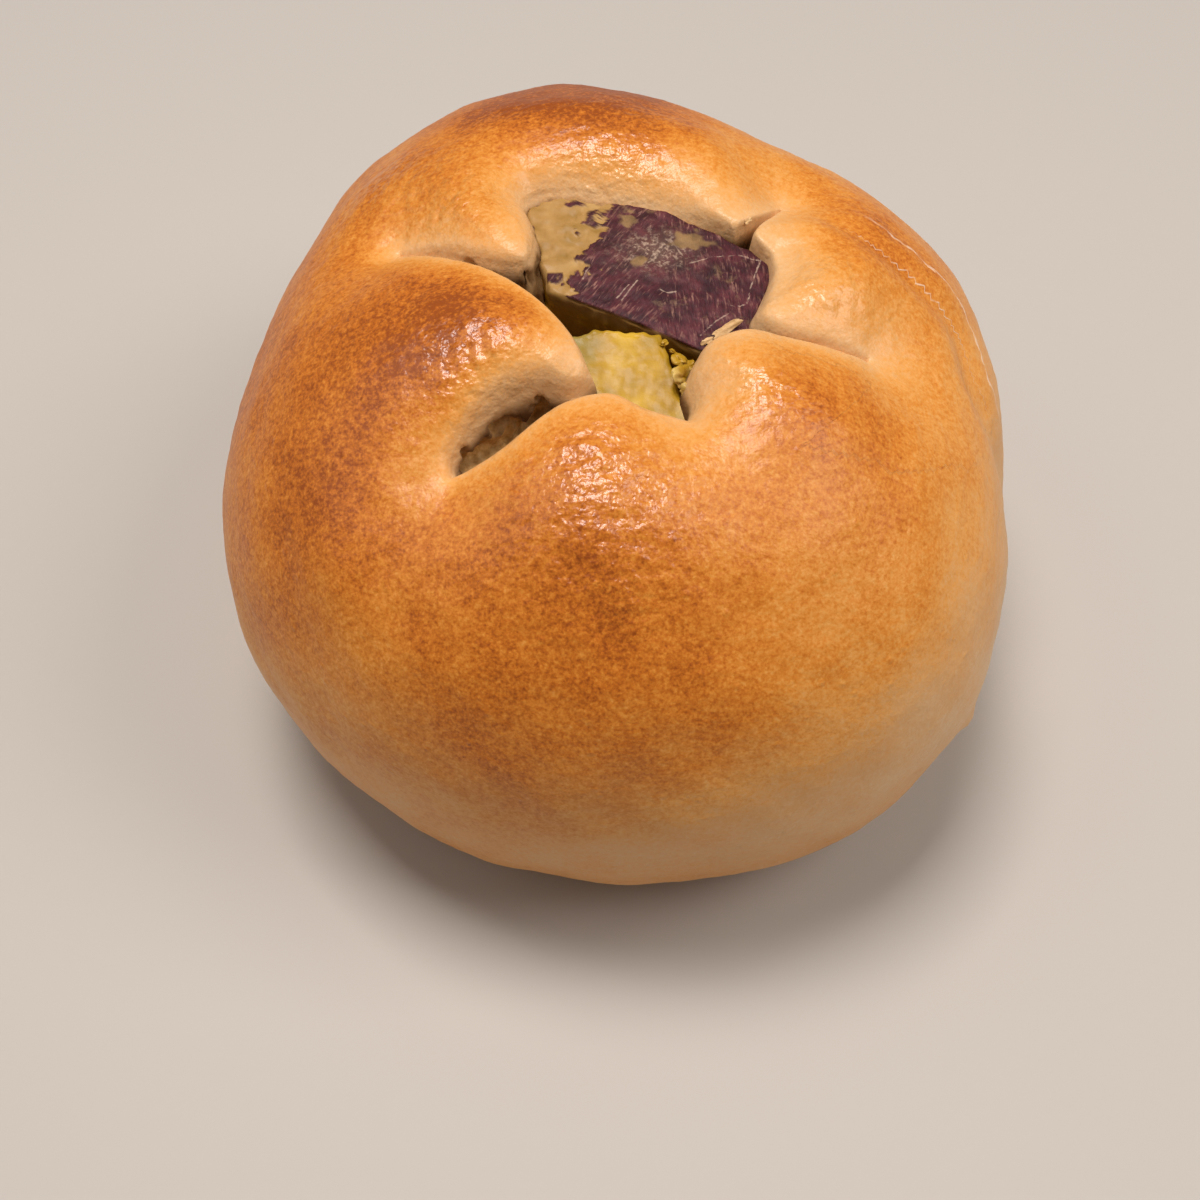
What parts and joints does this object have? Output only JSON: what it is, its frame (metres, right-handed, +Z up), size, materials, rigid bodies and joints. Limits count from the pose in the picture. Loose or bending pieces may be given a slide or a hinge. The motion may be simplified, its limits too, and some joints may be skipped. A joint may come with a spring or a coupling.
{
  "type": "filled bagel bun",
  "caption": "Plump round filled bagel bun, browned on top, its crown cut crosswise into soft flaps that open on purple-skinned yellow sweet potato.",
  "frame": {"origin": "middle of the bounding box in plan, on the plane that the bun rests on", "axes": "+Z up out of the crown; -Y toward the side that faces the viewer in the picture; +X to that viewer's right"},
  "size_m": [0.0908, 0.1006, 0.0626],
  "materials": {
    "baked_crust": "baked wheat crust, satin, golden brown fading to cream",
    "potato_skin": "cooked sweet potato skin, matte with a faint sheen",
    "potato_flesh": "cooked sweet potato flesh, moist and slightly grainy"
  },
  "bodies": {
    "root": {"bagel_dough": "baked_crust", "potato_chunk_large": "potato_skin", "potato_chunk_small": "potato_flesh"}
  },
  "joints": []
}
